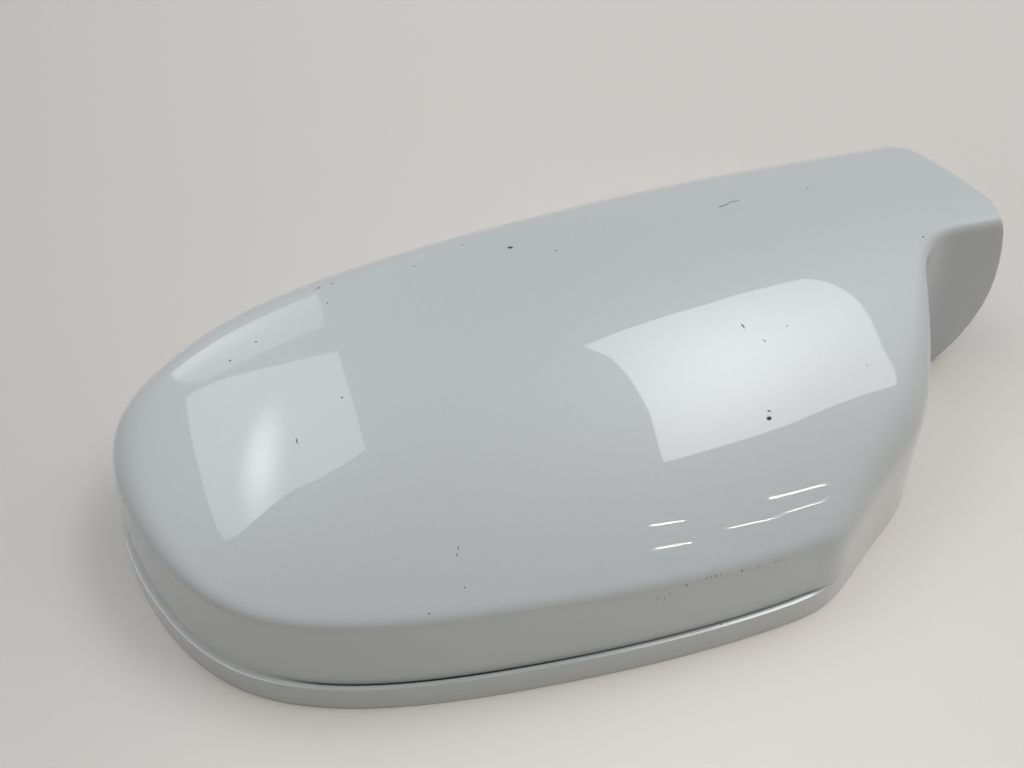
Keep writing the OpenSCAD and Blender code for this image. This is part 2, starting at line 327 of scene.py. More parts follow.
# %% Grid of the skin
def skin_grid(skin):
    """All rows and sections of one skin, with the hood's rows ending on its trimmed edge."""
    body = sections(BODY_U, skin)
    dense_u = np.linspace(HOOD_START_U, NEAR_U[-1], TRIMMING_STEPS)
    dense = sections(dense_u, skin)
    kept = inside_hood(dense)
    hood = np.empty((len(dense), HOOD_COUNT, 3))
    steps = np.arange(len(dense_u))
    for row in range(len(dense)):
        first_out = int(np.argmax(kept[row] < 0))
        before, after = kept[row][first_out - 1], kept[row][first_out]
        end = first_out - 1 + before / (before - after)
        run = np.concatenate([[0], np.cumsum(np.linalg.norm(np.diff(dense[row], axis=0), axis=1))])
        goal = np.interp(end, steps, run) * np.arange(1, HOOD_COUNT + 1) / HOOD_COUNT
        for axis in range(3):
            hood[row, :, axis] = np.interp(goal, run, dense[row][:, axis])
    return np.concatenate([body, hood], axis=1)


outer_grid = skin_grid(0.0)
inner_grid = skin_grid(WALL_T)
print("grid of %d rows and %d sections" % outer_grid.shape[:2])

# %% [markdown]
# ## The shell
#
# Each skin starts as a plain grid whose points are then placed by the rules. The two long sides of the grid meet at
# the outer end, where they are merged. The inner skin is turned inside out, the open edges of both skins are bridged,
# and the two sharp edges of the bridge get a fine bevel, as the edge of a moulding has.
#
# The slit is darkened with painted shade, and the ledge's outer edge is brightened with a painted highlight. Both
# follow rows of the mesh, so they are written on its points as two attributes, which the lacquer reads later.

# %% Painted shade and painted highlight of the ledge
# Part of the painted shade falls on the slit's mouth. The painted highlight on the ledge's outer edge grows in from the
# left.
SLIT_MOUTH_SHADE = .30
HIGHLIGHT_START, HIGHLIGHT_GROWS_OVER = -25, 45


def ledge_painted_light(side, places):
    """Painted shade of the slit and painted highlight of the ledge's edge, for points at places on rows counted from
    the rim.
    """
    round_rows = len(SKIRT_ROWS) + len(ROUND_ANGLES)
    mouth = round_rows + len(LEDGE_TOP)
    here = ledge_share(places[:, :2])
    opened, depth = slit_share(places)
    # Painted shade: the slit's rows, and a little of its mouth, are darkened, most where the slit is deepest.
    slit_shade = np.isin(side, range(mouth + 1, mouth + len(SLIT) - 1)) + SLIT_MOUTH_SHADE * (side == mouth)
    slit_shade = slit_shade * here * opened * (.35 + .65 * depth)
    # Painted highlight: on the near side the skirt's rounded edge is brightened. It runs along the full edge where the
    # slit hasn't opened, and grows in from the left where it has.
    edge = round_rows - 1
    rightwards = eased((places[:, 0] - HIGHLIGHT_START) / HIGHLIGHT_GROWS_OVER) * opened
    edge_highlight = np.isin(side, (edge, edge + 1, edge + 2)) * rightwards + np.isin(side, (edge - 1, edge)) * (1 - opened)
    return slit_shade, edge_highlight * here * (places[:, 1] < 0)


print("grime and polish on %d rows" % (len(SLIT) + 3))


# %% Skins
MERGE_WITHIN = 0.004


def select_only(piece):
    """Makes piece the only selected object, and the active one."""
    bpy.ops.object.select_all(action="DESELECT")
    piece.select_set(True)
    bpy.context.view_layer.objects.active = piece


def add_skin(name, grid, inside_out):
    """A grid primitive whose points are placed on the rows and sections of a skin."""
    row_count, section_count = grid.shape[:2]
    bpy.ops.mesh.primitive_grid_add(x_subdivisions=section_count - 1, y_subdivisions=row_count - 1, size=1)
    skin = bpy.context.object
    skin.name = name
    flat = np.empty(len(skin.data.vertices) * 3)
    skin.data.vertices.foreach_get("co", flat)
    flat = flat.reshape(-1, 3)
    section = np.rint((flat[:, 0] + .5) * (section_count - 1)).astype(int)
    row = np.rint((flat[:, 1] + .5) * (row_count - 1)).astype(int)
    places = grid[row, section]
    skin.data.vertices.foreach_set("co", (places * MM).ravel())
    painted = ledge_painted_light(np.minimum(row, row_count - 1 - row), places)
    for label, amount in zip(("slit_painted_shade", "ledge_painted_highlight"), painted):
        attribute = skin.data.attributes.new(label, "FLOAT", "POINT")
        attribute.data.foreach_set("value", 0 * amount if inside_out else amount)
    skin.data.update()
    bpy.ops.object.mode_set(mode="EDIT")
    bpy.ops.mesh.select_all(action="SELECT")
    bpy.ops.mesh.remove_doubles(threshold=MERGE_WITHIN * MM)
    if inside_out:
        bpy.ops.mesh.flip_normals()
    bpy.ops.object.mode_set(mode="OBJECT")
    print("%s: %d faces" % (name, len(skin.data.polygons)))
    return skin


inner_skin = add_skin("inner_skin", inner_grid, True)
outer_skin = add_skin("outer_skin", outer_grid, False)

# %% Bridge between the skins
EDGE_BEVEL = 0.35
SMOOTH_BELOW = math.radians(35)
for skin, material_name in ((outer_skin, "silver_lacquer"), (inner_skin, "bare_plastic")):
    skin.data.materials.append(bpy.data.materials.new(material_name))
lacquer, plastic = outer_skin.data.materials[0], inner_skin.data.materials[0]
skin_faces = len(outer_skin.data.polygons) + len(inner_skin.data.polygons)

shell = outer_skin
select_only(shell)
inner_skin.select_set(True)
bpy.ops.object.join()
shell.name = "cover_shell"
bpy.ops.object.mode_set(mode="EDIT")
bpy.ops.mesh.select_mode(type="EDGE")
bpy.ops.mesh.select_all(action="DESELECT")
bpy.ops.mesh.select_non_manifold(extend=False, use_wire=False, use_boundary=True, use_multi_face=False,
                                 use_non_contiguous=False, use_verts=False)
bpy.ops.transform.edge_bevelweight(value=1)
bpy.ops.mesh.bridge_edge_loops()
bpy.ops.mesh.select_all(action="SELECT")
bpy.ops.mesh.normals_make_consistent(inside=False)
bpy.ops.object.mode_set(mode="OBJECT")
for face in list(shell.data.polygons)[skin_faces:]:
    face.material_index = 0

bevel = shell.modifiers.new("edge of the moulding", "BEVEL")
bevel.limit_method = "WEIGHT"
bevel.width = EDGE_BEVEL * MM
bevel.segments = 2
bevel.use_clamp_overlap = False
bpy.ops.object.modifier_apply(modifier=bevel.name)
bpy.ops.object.shade_smooth_by_angle(angle=SMOOTH_BELOW)
print("shell: %d faces, materials %s" % (len(shell.data.polygons), [m.name for m in shell.data.materials]))

# %% [markdown]
# ## Snap hooks
#
# Inside, the real cover is held by plastic tongues with a small catch. One tongue is made from a block: its catch is
# drawn out of the front, and the two webs that carry it are extruded from its back into the wall. The others are
# copies, each turned to face its own stretch of wall.

# %% One hook
HOOK_W, HOOK_T, HOOK_L, HOOK_GAP, HOOK_CLEAR = 12.0, 1.8, 15.0, 5.0, 3.0
CATCH_D, CATCH_H = 2.0, 4.0
SOFT_EDGE = 0.3
root_z = HOOK_CLEAR + HOOK_L
wall_at_root = WALL_T + root_z * DRAFT
hook_face = wall_at_root + HOOK_GAP


def cut_at(point, normal):
    """Cuts all of the mesh in edit mode along a plane."""
    bpy.ops.mesh.select_all(action="SELECT")
    bpy.ops.mesh.bisect(plane_co=[c * MM for c in point], plane_no=normal)


def finish_plastic(piece):
    """Rounds the edges of the active object a little, shades it smooth and makes it of bare plastic."""
    soften = piece.modifiers.new("soft edges", "BEVEL")
    soften.width = SOFT_EDGE * MM
    soften.segments = 2
    soften.limit_method = "ANGLE"
    bpy.ops.object.modifier_apply(modifier=soften.name)
    bpy.ops.object.shade_smooth_by_angle(angle=SMOOTH_BELOW)
    piece.data.materials.append(plastic)


bpy.ops.mesh.primitive_cube_add(size=1, location=((hook_face + HOOK_T / 2) * MM, 0, (HOOK_CLEAR + HOOK_L / 2) * MM))
hook = bpy.context.object
hook.name = "snap_hook"
hook.dimensions = (HOOK_T * MM, HOOK_W * MM, HOOK_L * MM)
bpy.ops.object.transform_apply(location=True, rotation=False, scale=True)
bpy.ops.object.mode_set(mode="EDIT")
catch_low, catch_top = HOOK_CLEAR + CATCH_H - HOOK_T, HOOK_CLEAR + CATCH_H - HOOK_T / 2
for height in (catch_low, catch_top, HOOK_CLEAR + CATCH_H, SKIRT_H):
    cut_at((0, 0, height), (0, 0, 1))
for side in (-1, 1):
    cut_at((0, side * (HOOK_W / 2 - HOOK_T), 0), (0, 1, 0))
bpy.ops.object.mode_set(mode="OBJECT")
for vertex in hook.data.vertices:
    on_front = vertex.co.x > (hook_face + HOOK_T / 2) * MM
    if on_front and (catch_low - .1) * MM < vertex.co.z < (catch_top + .1) * MM:
        vertex.co.x += CATCH_D * MM
for face in hook.data.polygons:
    middle = face.center / MM
    face.select = (face.normal.x < -.9 and abs(middle.y) > HOOK_W / 2 - HOOK_T and middle.z > SKIRT_H)
for edge in hook.data.edges:
    edge.select = False
for vertex in hook.data.vertices:
    vertex.select = False
bpy.ops.object.mode_set(mode="EDIT")
bpy.ops.mesh.select_mode(type="FACE")
bpy.ops.mesh.extrude_region_move(
    TRANSFORM_OT_translate={"value": (-(HOOK_GAP + WALL_T / 2) * MM, 0, 0)})
bpy.ops.object.mode_set(mode="OBJECT")
finish_plastic(hook)
print("hook: %d faces" % len(hook.data.polygons))

# %% Row of hooks
HOOK_SHARES = [.005, .095, .16, .222, .335, .775, .845, .915]
hooks = []
for number, share in enumerate(HOOK_SHARES):
    place, inward, _ = outline_at([share * len(RIM)])
    select_only(hook)
    if number < len(HOOK_SHARES) - 1:
        bpy.ops.object.duplicate()
    copy = bpy.context.object
    start = place[0] + inward[0] * LEDGE_W * ledge_share(place)[0]
    copy.location = (start[0] * MM, start[1] * MM, 0)
    copy.rotation_euler = (0, 0, math.atan2(inward[0][1], inward[0][0]))
    bpy.ops.object.transform_apply(location=True, rotation=True, scale=True)
    hooks.append(copy)
print("%d hooks" % len(hooks))

# %% [markdown]
# ## Ribs
#
# Four thin ribs under the crown keep it from drumming. Each is a strip whose upper edge follows the underside of the
# crown and sinks a little into it, with a thickness given by a modifier.

# %% Ribs
RIB_T, RIB_H, RIB_PITCH, RIB_L, RIB_COUNT = 1.6, 5.0, 42.0, 46.0, 4
RIB_ROW = np.array([-.0188 * COVER_L, .0201 * COVER_W])
ribs = []
for number in range(RIB_COUNT):
    bpy.ops.mesh.primitive_grid_add(x_subdivisions=36, y_subdivisions=5, size=1)
    rib = bpy.context.object
    rib.name = "rib_%d" % number
    rib_x = RIB_ROW[0] + (number - (RIB_COUNT - 1) / 2) * RIB_PITCH
    for vertex in rib.data.vertices:
        y = RIB_ROW[1] + vertex.co.x * RIB_L
        under = crown_z(np.array([[rib_x, y]]))[0] - WALL_T
        vertex.co = (rib_x * MM, y * MM, (under - RIB_H + (vertex.co.y + .5) * (RIB_H + WALL_T / 2)) * MM)
    thickness = rib.modifiers.new("thickness", "SOLIDIFY")
    thickness.thickness = RIB_T * MM
    thickness.offset = 0
    bpy.ops.object.modifier_apply(modifier=thickness.name)
    finish_plastic(rib)
    ribs.append(rib)
print("%d ribs of %d faces" % (len(ribs), len(ribs[0].data.polygons)))

# %% [markdown]
# ## Small marks
#
# The lacquer has a few dozen chips and scratches, each in its own place. A random pattern would put them elsewhere, so
# each mark is a small ellipse given by its centre, direction and size. One node group for each list of marks gives
# their mask, over a position that a fine noise has shaken, so that no outline is a clean curve.


# %% Node helpers
def add_node(tree, kind, inputs=None, **settings):
    """Adds a node, sets its properties, and fills or links its inputs."""
    new = tree.nodes.new(kind)
    for key, value in settings.items():
        setattr(new, key, value)
    for key, value in (inputs or {}).items():
        if isinstance(value, bpy.types.NodeSocket):
            tree.links.new(value, new.inputs[key])
        else:
            new.inputs[key].default_value = value
    return new


def new_group(name, inputs, outputs):
    """An empty node group with named sockets, and its input and output nodes."""
    group = bpy.data.node_groups.new(name, "ShaderNodeTree")
    for label, kind, default in inputs:
        socket = group.interface.new_socket(label, in_out="INPUT", socket_type="NodeSocket" + kind)
        socket.default_value = default
    for label, kind in outputs:
        group.interface.new_socket(label, in_out="OUTPUT", socket_type="NodeSocket" + kind)
    return group, group.nodes.new("NodeGroupInput"), group.nodes.new("NodeGroupOutput")


def math_node(tree, operation, a, b=0.0):
    """One step of arithmetic."""
    return add_node(tree, "ShaderNodeMath", {0: a, 1: b}, operation=operation).outputs[0]


def vector_node(tree, operation, a, b=(0.0, 0.0, 0.0), output=0):
    """One step of vector arithmetic."""
    return add_node(tree, "ShaderNodeVectorMath", {0: a, 1: b}, operation=operation).outputs[output]


def covered(tree, under, over, factor):
    """Colour over on top of colour under, as far as the factor says."""
    return add_node(tree, "ShaderNodeMix", {"Factor": factor, 6: under, 7: over}, data_type="RGBA").outputs[2]


def group_mask(tree, group, position):
    """The mask that a group of marks gives at a position."""
    placed = add_node(tree, "ShaderNodeGroup", node_tree=group)
    tree.links.new(position, placed.inputs["Position"])
    return placed.outputs["Mask"]


# %% Group: a list of marks
HALF_HEIGHT = 1.6


def marks_group(name, marks, shake):
    """A group that gives the mask of all marks, with their outlines shaken by up to about shake mm.

    A mark is x, y, z, direction x, y, half length, half width and, on a wall, half height. All but the direction
    are in mm.
    """
    group, given, result = new_group(name, [("Position", "Vector", (0, 0, 0))], [("Mask", "Float")])
    noise = add_node(group, "ShaderNodeTexNoise",
                     {"Vector": given.outputs["Position"], "Scale": 1400.0, "Detail": 1.0})
    centred = vector_node(group, "SUBTRACT", noise.outputs["Color"], (.5, .5, .5))
    shaken = add_node(group, "ShaderNodeVectorMath",
                      {0: centred, 1: (shake * MM,) * 3, 2: given.outputs["Position"]}, operation="MULTIPLY_ADD")
    nearest = 9.0
    for x, y, z, dx, dy, *half_sizes in marks:
        length, width, height = (*half_sizes, HALF_HEIGHT)[:3]
        framed = add_node(group, "ShaderNodeMapping", {
            "Vector": shaken.outputs[0], "Location": (x * MM, y * MM, z * MM),
            "Rotation": (0, 0, math.atan2(dy, dx)), "Scale": (length * MM, width * MM, height * MM)},
                          vector_type="TEXTURE")
        nearest = math_node(group, "MINIMUM", vector_node(group, "LENGTH", framed.outputs[0], output="Value"),
                            nearest)
    mask = add_node(group, "ShaderNodeMapRange",
                    {"Value": nearest, "From Min": 1.25, "From Max": .75, "To Min": 0.0, "To Max": 1.0})
    group.links.new(mask.outputs[0], result.inputs["Mask"])
    return group


CHIPS = [
    (-10.88, 33.75, 55.47, 1, -.3, .75, .40), (-58.92, 29.88, 51.48, 1, .2, .26, .18),
    (-60.25, 37.02, 49.65, 1, .6, .40, .20), (-56.78, 37.14, 50.22, 1, .4, .30, .18),
    (-77.78, 23.92, 48.71, 1, -1, .48, .16), (-84.73, 20.65, 47.43, 1, -.5, .30, .20),
    (-71.95, -7.70, 48.30, -.1, 1, .85, .12), (-59.85, .07, 51.27, 1, -.4, .26, .16),
    (-22.29, 39.11, 53.77, 1, .3, .35, .18), (-35.65, 35.06, 53.57, 1, 0, .26, .18),
    (-.06, 29.33, 56.17, 1, .4, .30, .20), (71.46, 36.55, 54.53, 1, 0, .30, .18),
    (94.85, 14.32, 52.72, 1, .5, .35, .20), (39.01, -2.69, 52.46, .3, -1, .58, .17),
    (50.02, -4.44, 51.34, 1, 0, .24, .16), (43.14, -7.34, 50.98, .5, -1, .40, .14),
    (38.85, -23.92, 45.50, 1, -.3, .40, .20), (38.33, -25.58, 44.85, 1, .3, .62, .42),
    (66.95, -16.88, 46.05, 1, 0, .22, .14), (-41.00, -40.08, 41.00, .5, 1, .42, .11),
    (-41.54, -41.42, 40.36, .5, 1, .36, .11), (-41.37, -48.10, 37.14, 1, 0, .28, .13),
    (-50.28, -51.40, 35.03, 1, .3, .30, .15)]
SCRATCHES = [
    (-33.98, 38.51, 52.88, 1, -.1, 2.2, .30)]
SCUFFS = [
    (9.05, -56.09, 29.92, 1, 0, .30, .8, .42), (13.9, -55.75, 30.30, 1, 0, .20, .8, .22),
    (15.1, -55.68, 30.45, 1, 0, .16, .8, .40), (16.3, -55.60, 30.35, 1, 0, .34, .8, .16),
    (17.6, -55.52, 30.30, 1, 0, .18, .8, .30), (22.90, -55.41, 29.62, 1, .04, .36, .8, .34),
    (27.27, -55.17, 29.20, 1, .06, .50, .8, .14), (31.6, -54.76, 29.00, 1, .08, .60, .8, .13),
    (33.0, -54.66, 28.95, 1, .08, .20, .8, .24), (2.2, -56.47, 27.60, 1, 0, .10, .8, 1.1),
    (3.9, -56.60, 26.60, 1, .1, .09, .8, 1.3), (5.2, -56.5, 28.1, 1, .1, .08, .8, .6),
    (18.02, -57.26, 15.39, 1, 0, .16, .8, .18), (19.66, -58.78, 9.15, 1, 0, .26, .8, .16),
    (47.3, 35.15, 55.30, 1, .25, 1.8, .24), (50.4, 36.05, 55.20, 1, .08, 1.7, .18)]
chips_group = marks_group("paint chips", CHIPS, .45)
scratches_group = marks_group("light scratches", SCRATCHES, .55)
scuffs_group = marks_group("dark scuffs", SCUFFS, .35)
print("%d chips, %d scratches and %d scuffs" % (len(CHIPS), len(SCRATCHES), len(SCUFFS)))

# %% [markdown]
# ## Silver lacquer
#
# Silver car paint is a thin grey layer full of fine metal flakes under a clear coat. The flakes make the colour fall
# off where the surface turns away from the light, and the coat carries the sharp reflections. So the shader is a
# little metal and fairly rough, under a smooth coat, and the chips take away coat, flake and colour together. The
# colours are laid over each other in this order: silver, scratches, scuffs, the painted shade of the slit, the
# painted highlight of the ledge's edge, chips.

# %% Lacquer material
SILVER = (.522, .560, .570)
SCRATCH_GREY, SCUFF_GREY, CHIP_GREY = (.62, .62, .60, 1), (.12, .12, .12, 1), (.055, .055, .058, 1)
# The first of the next two colours is painted shade for the slit, the second a painted highlight for the ledge's edge.
PAINTED_SHADE_GREY, PAINTED_HIGHLIGHT_GREY = (.05, .047, .043, 1), (.86, .87, .87, 1)
METAL_SHARE, FLAKE_ROUGHNESS = .15, .46
lacquer.use_nodes = True
tree = lacquer.node_tree
tree.nodes.clear()
output = add_node(tree, "ShaderNodeOutputMaterial")
paint = add_node(tree, "ShaderNodeBsdfPrincipled", {"IOR": 1.5, "Specular IOR Level": .25, "Coat Roughness": .02,
                                                    "Coat IOR": 1.5})
tree.links.new(paint.outputs[0], output.inputs["Surface"])
position = add_node(tree, "ShaderNodeTexCoord").outputs["Object"]
chips, scratches, scuffs = [group_mask(tree, group, position)
                            for group in (chips_group, scratches_group, scuffs_group)]
flake = add_node(tree, "ShaderNodeTexVoronoi", {"Vector": position, "Scale": 5200.0})
flake_grey = add_node(tree, "ShaderNodeMapRange", {"Value": flake.outputs["Color"], "To Min": .97, "To Max": 1.03})
cloud = add_node(tree, "ShaderNodeTexNoise", {"Vector": position, "Scale": 26.0, "Detail": 3.0})
cloud_grey = add_node(tree, "ShaderNodeMapRange", {"Value": cloud.outputs["Fac"], "To Min": .985, "To Max": 1.015})
shade = math_node(tree, "MULTIPLY", flake_grey.outputs[0], cloud_grey.outputs[0])
# These two attributes carry the painted shade of the slit and the painted highlight of the ledge's edge.
slit_shade_mask = add_node(tree, "ShaderNodeAttribute", attribute_name="slit_painted_shade").outputs["Fac"]
edge_highlight_mask = add_node(tree, "ShaderNodeAttribute", attribute_name="ledge_painted_highlight").outputs["Fac"]
colour = add_node(tree, "ShaderNodeVectorMath", {0: SILVER, "Scale": shade}, operation="SCALE").outputs[0]
for over, factor in ((SCRATCH_GREY, scratches), (SCUFF_GREY, math_node(tree, "MULTIPLY", scuffs, .75)),
                     (PAINTED_SHADE_GREY, slit_shade_mask), (PAINTED_HIGHLIGHT_GREY, edge_highlight_mask), (CHIP_GREY, chips)):
    colour = covered(tree, colour, over, factor)
tree.links.new(colour, paint.inputs["Base Color"])
whole = math_node(tree, "SUBTRACT", 1.0, chips)
tree.links.new(math_node(tree, "MULTIPLY", whole, METAL_SHARE), paint.inputs["Metallic"])
tree.links.new(whole, paint.inputs["Coat Weight"])
rough = add_node(tree, "ShaderNodeMapRange", {"Value": chips, "To Min": FLAKE_ROUGHNESS, "To Max": .7})
tree.links.new(rough.outputs[0], paint.inputs["Roughness"])
depth = math_node(tree, "MULTIPLY", math_node(tree, "ADD", chips, math_node(tree, "MULTIPLY", scratches, .3)), -1.0)
dent = add_node(tree, "ShaderNodeBump", {"Height": depth, "Strength": .6, "Distance": .08 * MM})
tree.links.new(dent.outputs[0], paint.inputs["Normal"])
print("lacquer: %d nodes" % len(tree.nodes))

# %% [markdown]
# ## Bare plastic
#
# Inside, the moulding is bare: dark grey, a little cloudy from the flow of the melt, and finely grained. When the
# outside was sprayed, a mist of lacquer drifted in over the rim and settled there in droplets. The height over the rim
# says how much of it landed, and a fine noise breaks it up, because a plain gradient would look like a painted band.

# %% Bare plastic material
DARK_GREY, LIGHT_GREY, MIST_GREY = (.036, .037, .039, 1), (.060, .061, .063, 1), (.40, .42, .43, 1)
MIST_TOP, MIST_FOOT, MIST_SHARE = 9, .3, .8
plastic.use_nodes = True
tree = plastic.node_tree
tree.nodes.clear()
output = add_node(tree, "ShaderNodeOutputMaterial")
bare = add_node(tree, "ShaderNodeBsdfPrincipled", {"IOR": 1.53})
tree.links.new(bare.outputs[0], output.inputs["Surface"])
position = add_node(tree, "ShaderNodeTexCoord").outputs["Object"]
grain = add_node(tree, "ShaderNodeTexNoise", {"Vector": position, "Scale": 1800.0, "Detail": 3.0})
flow = add_node(tree, "ShaderNodeTexNoise", {"Vector": position, "Scale": 38.0, "Detail": 4.0})
grey = covered(tree, DARK_GREY, LIGHT_GREY, flow.outputs["Fac"])
height = add_node(tree, "ShaderNodeSeparateXYZ", {0: position}).outputs["Z"]
near_rim = add_node(tree, "ShaderNodeMapRange", {"Value": height, "From Min": MIST_TOP * MM, "From Max": MIST_FOOT * MM,
                                                 "To Min": 0.0, "To Max": 1.0}, interpolation_type="SMOOTHSTEP")
droplets = add_node(tree, "ShaderNodeTexNoise", {"Vector": position, "Scale": 900.0, "Detail": 4.0})
landed = add_node(tree, "ShaderNodeMapRange", {"Value": droplets.outputs["Fac"], "From Min": .42, "From Max": .62})
mist = math_node(tree, "MULTIPLY", near_rim.outputs[0], math_node(tree, "MULTIPLY", landed.outputs[0], MIST_SHARE))
tree.links.new(covered(tree, grey, MIST_GREY, mist), bare.inputs["Base Color"])
rough = add_node(tree, "ShaderNodeMapRange", {"Value": grain.outputs["Fac"], "To Min": .45, "To Max": .68})
tree.links.new(rough.outputs[0], bare.inputs["Roughness"])
relief = add_node(tree, "ShaderNodeBump", {"Height": grain.outputs["Fac"], "Strength": .35, "Distance": .05 * MM})
tree.links.new(relief.outputs[0], bare.inputs["Normal"])
print("plastic: %d nodes" % len(tree.nodes))

# %% [markdown]
# ## One moulding
#
# The hooks and ribs are moulded on the shell, so they are joined to it, and the one piece stands for the solid.

# %% Join
select_only(shell)
for part in hooks + ribs:
    part.select_set(True)
bpy.ops.object.join()
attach(shell, "root")
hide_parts("mirror_cover")
print("cover: %d faces" % len(shell.data.polygons))

# %% [markdown]
# ## Floor
#
# The cover lies on a warm pale table. Its colour holds a soft painted pool of light right in front of the cover and
# soft painted shade towards the left, and a faint mottle keeps it from looking flat.

# %% Floor
# The patch is a painted pool of light on the floor, and the dimming towards the left is painted shade.
FLOOR_COLOUR, FLOOR_SIZE = (.68, .655, .622), 8
PAINTED_LIGHT_CENTRE, PAINTED_LIGHT_REACH, PAINTED_LIGHT_GAIN = (-.02, -.10, 0), (.30, .19, 1), 1.28
PAINTED_SHADE_FROM_X, PAINTED_SHADE_TO_X, PAINTED_SHADE_SHARE = -.22, .02, .85
bpy.ops.mesh.primitive_plane_add(size=FLOOR_SIZE)
floor = bpy.context.object
floor.name = "floor"
table_top = bpy.data.materials.new("table_top")
table_top.use_nodes = True
tree = table_top.node_tree
surface = tree.nodes["Principled BSDF"]
surface.inputs["Roughness"].default_value = .7
position = add_node(tree, "ShaderNodeTexCoord").outputs["Object"]
mottle = add_node(tree, "ShaderNodeTexNoise", {"Vector": position, "Scale": 6.0, "Detail": 3.0})
tone = add_node(tree, "ShaderNodeMapRange", {"Value": mottle.outputs["Fac"], "To Min": .985, "To Max": 1.015})
# Painted pool of light in front of the cover.
off = vector_node(tree, "SUBTRACT", position, PAINTED_LIGHT_CENTRE)
away = vector_node(tree, "LENGTH", vector_node(tree, "DIVIDE", off, PAINTED_LIGHT_REACH), output="Value")
painted_light_pool = add_node(tree, "ShaderNodeMapRange", {"Value": away, "From Min": 1.0, "From Max": 0.0, "To Min": 1.0,
                                              "To Max": PAINTED_LIGHT_GAIN}, interpolation_type="SMOOTHSTEP")
# Painted shade, darker towards the left.
across = add_node(tree, "ShaderNodeSeparateXYZ", {0: position}).outputs["X"]
side = add_node(tree, "ShaderNodeMapRange", {"Value": across, "From Min": PAINTED_SHADE_FROM_X, "From Max": PAINTED_SHADE_TO_X,
                                             "To Min": PAINTED_SHADE_SHARE, "To Max": 1.0}, interpolation_type="SMOOTHSTEP")
tone = math_node(tree, "MULTIPLY", tone.outputs[0], math_node(tree, "MULTIPLY", painted_light_pool.outputs[0], side.outputs[0]))
colour = add_node(tree, "ShaderNodeVectorMath", {0: FLOOR_COLOUR, "Scale": tone}, operation="SCALE")
tree.links.new(colour.outputs[0], surface.inputs["Base Color"])
floor.data.materials.append(table_top)
print("floor: %d nodes" % len(tree.nodes))

# %% [markdown]
# ## Lamps
#
# The reflections in the lacquer are those of two wide panels and a few thin tubes on a ceiling, and of one upright
# window beyond the far side. Following the edge of a reflection back from the camera over the shell gives its outline
# out there, so each of them is a plate with that outline. Each plate is brighter in one place, which is its glow. The
# thin tubes would give almost no light of their own, so only reflections see them.

# %% Lamps
CEILING = 1500.0


def add_panel(name, outline, colour, strength, glow=None, lights_scene=True):
    """A glowing plate with the given outline in mm. glow is a centre, a reach and an extra strength."""
    bpy.ops.mesh.primitive_circle_add(vertices=len(outline), radius=1, fill_type="NGON")
    panel = bpy.context.object
    panel.name = name
    for vertex, corner in zip(panel.data.vertices, outline):
        vertex.co = [c * MM for c in corner]
    panel.data.update()
    material = bpy.data.materials.new(name)
    material.use_nodes = True
    tree = material.node_tree
    tree.nodes.clear()
    out = add_node(tree, "ShaderNodeOutputMaterial")
    emission = add_node(tree, "ShaderNodeEmission", {"Color": (*colour, 1), "Strength": strength})
    tree.links.new(emission.outputs[0], out.inputs["Surface"])
    if glow:
        centre, reach, extra = glow
        position = add_node(tree, "ShaderNodeTexCoord").outputs["Object"]
        off = vector_node(tree, "SUBTRACT", position, [c * MM for c in centre])
        scaled = vector_node(tree, "DIVIDE", off, [r * MM for r in reach])
        far = vector_node(tree, "LENGTH", scaled, output="Value")
        power = add_node(tree, "ShaderNodeMapRange",
                         {"Value": far, "From Min": 1.0, "From Max": 0.0, "To Min": strength,
                          "To Max": strength + extra}, interpolation_type="SMOOTHSTEP")
        tree.links.new(power.outputs[0], emission.inputs["Strength"])
    if not lights_scene:
        material.cycles.emission_sampling = "NONE"
        panel.visible_diffuse = False
        panel.visible_shadow = False
    panel.visible_camera = False
    panel.data.materials.append(material)


def on_ceiling(points):
    """Points of an outline on the ceiling."""
    return [(x, y, CEILING) for x, y in points]


PANEL_RIGHT = [
    (338, 405), (437, 450), (544, 481), (644, 499), (741, 528), (829, 532), (880, 532), (913, 466), (943, 357),
    (967, 225), (995, 53), (1027, -111), (1075, -275), (1131, -382), (1052, -372), (970, -395), (885, -430),
    (790, -445), (687, -449), (563, -448), (533, -310), (509, -161), (478, -28), (447, 112), (402, 276)]
PANEL_LEFT = [
    (-1293, 1613), (-1212, 1653), (-1042, 1571), (-850, 1426), (-664, 1292), (-443, 1148), (-403, 829), (-367, 563),
    (-340, 319), (-320, 171), (-377, 129), (-486, 101), (-602, 99), (-714, 41), (-819, -19), (-887, -11), (-918, 67),
    (-969, 306), (-1043, 632), (-1148, 1060)]
WINDOW_Y = 2600.0
WINDOW_BACK = [
    (-544, 800), (-822, 831), (-1056, 780), (-1357, 680), (-1536, 660), (-1694, 1330), (-1801, 1878), (-1794, 2106),
    (-1643, 2232), (-1222, 2236), (-812, 2271), (-737, 2014), (-653, 1509)]
add_panel("panel_right", on_ceiling(PANEL_RIGHT), (.97, .985, 1), 4.1, glow=((700, 0, CEILING), (380, 620, 1), 2.6))
add_panel("panel_left", on_ceiling(PANEL_LEFT), (.96, .98, 1), 2.5, glow=((-722, 400, CEILING), (130, 600, 1), 4.8))
add_panel("panel_back", [(x, WINDOW_Y, z) for x, z in WINDOW_BACK], (.96, .98, 1), 1.7,
          glow=((-1400, WINDOW_Y, 1150), (850, 1, 1000), 1.3))
print("3 panels")

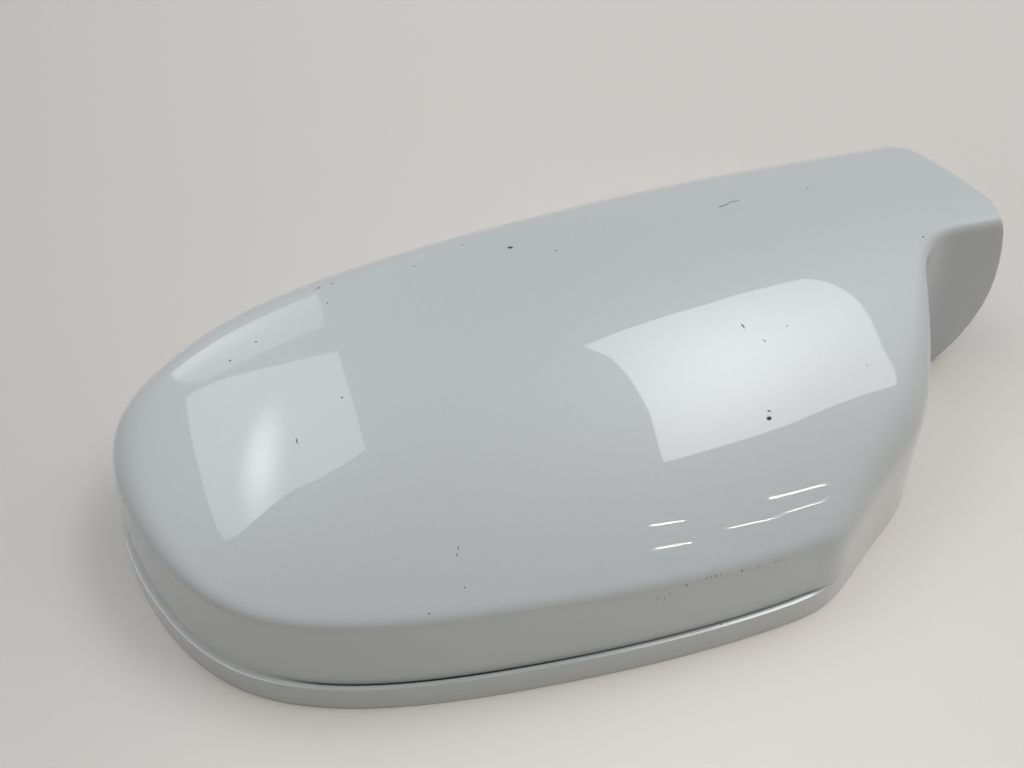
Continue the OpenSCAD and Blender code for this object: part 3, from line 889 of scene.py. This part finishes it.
# %% Tubes
TUBES = [((561, -772), (668, -806), 1.5), ((593, -913), (712, -944), 1.2), ((823, -932), (961, -959), 1.2),
         ((914, -829), (975, -838), 1.9), ((979, -838), (1061, -845), 1.8), ((991, -944), (1086, -948), 1.2)]
TUBE_STRENGTH = 75.0
for number, (start, end, half_width) in enumerate(TUBES):
    along = np.subtract(end, start) / np.linalg.norm(np.subtract(end, start))
    side = np.array([-along[1], along[0]]) * half_width
    ends = [np.add(start, side), np.add(end, side), np.subtract(end, side), np.subtract(start, side)]
    add_panel("tube_%d" % number, on_ceiling(ends), (1, .98, .94), TUBE_STRENGTH, lights_scene=False)
print("%d tubes" % len(TUBES))

# %% [markdown]
# ## Soft room light
#
# A studio's walls throw light back from every side, more from some than from others. Each entry below is one such
# side: its azimuth, its elevation, how tightly it gathers, and its colour. A node group turns the angle between a ray
# and that side into a smooth glow, and the world adds them up. They light the scene softly, while the camera, and
# whatever mirrors the room, see one plain pale background.

# %% Soft light group
soft_light, given, result = new_group(
    "soft light", [("Direction", "Vector", (0, 0, 1)), ("Axis", "Vector", (0, 0, 1)), ("Spread", "Float", 5.0),
                   ("Colour", "Color", (1, 1, 1, 1))], [("Colour", "Color")])
facing = vector_node(soft_light, "DOT_PRODUCT", given.outputs[0], given.outputs[1], output="Value")
falloff = math_node(soft_light, "MULTIPLY", math_node(soft_light, "SUBTRACT", facing, 1.0), given.outputs[2])
glow = math_node(soft_light, "EXPONENT", falloff)
tinted = add_node(soft_light, "ShaderNodeVectorMath", {0: given.outputs[3], "Scale": glow}, operation="SCALE")
soft_light.links.new(tinted.outputs[0], result.inputs[0])
print("soft light: %d nodes" % len(soft_light.nodes))

# %% World
HIGH, MIDDLE, LOW = (68, 16.0), (45, 5.0), (8, 6.0)
SOFT_LIGHTS = [
    (0, (90, 16.0), (1.22, 1.22, 1.22)), (0, HIGH, (.54, .53, .62)), (90, HIGH, (.32, .43, .76)),
    (180, HIGH, (.60, .60, .52)), (0, MIDDLE, (.46, .36, .22)), (0, LOW, (1.0, .92, .84)),
    (45, LOW, (.28, .40, .48)), (200, (8, 20.0), (.38, .37, .35))]
PALE = (.61, .585, .56, 1)
world = bpy.data.worlds.new("room")
bpy.context.scene.world = world
world.use_nodes = True
tree = world.node_tree
tree.nodes.clear()
out = add_node(tree, "ShaderNodeOutputWorld")
direction = add_node(tree, "ShaderNodeTexCoord").outputs["Generated"]
total = None
for azimuth, (elevation, spread), colour in SOFT_LIGHTS:
    turn, lift = math.radians(azimuth), math.radians(elevation)
    axis = (math.cos(turn) * math.cos(lift), math.sin(turn) * math.cos(lift), math.sin(lift))
    light = add_node(tree, "ShaderNodeGroup", node_tree=soft_light)
    tree.links.new(direction, light.inputs["Direction"])
    for label, value in (("Axis", axis), ("Spread", spread), ("Colour", (*colour, 1))):
        light.inputs[label].default_value = value
    total = light.outputs[0] if total is None else vector_node(tree, "ADD", total, light.outputs[0])
room_light = add_node(tree, "ShaderNodeBackground", {"Color": total, "Strength": 1.0})
seen = add_node(tree, "ShaderNodeBackground", {"Color": PALE, "Strength": 1.0})
path = add_node(tree, "ShaderNodeLightPath")
plain = math_node(tree, "MAXIMUM", path.outputs["Is Camera Ray"], path.outputs["Is Glossy Ray"])
plain = math_node(tree, "MAXIMUM", plain, path.outputs["Is Transmission Ray"])
mix = add_node(tree, "ShaderNodeMixShader", {0: plain, 1: room_light.outputs[0], 2: seen.outputs[0]})
tree.links.new(mix.outputs[0], out.inputs["Surface"])
print("world: %d soft lights" % len(SOFT_LIGHTS))
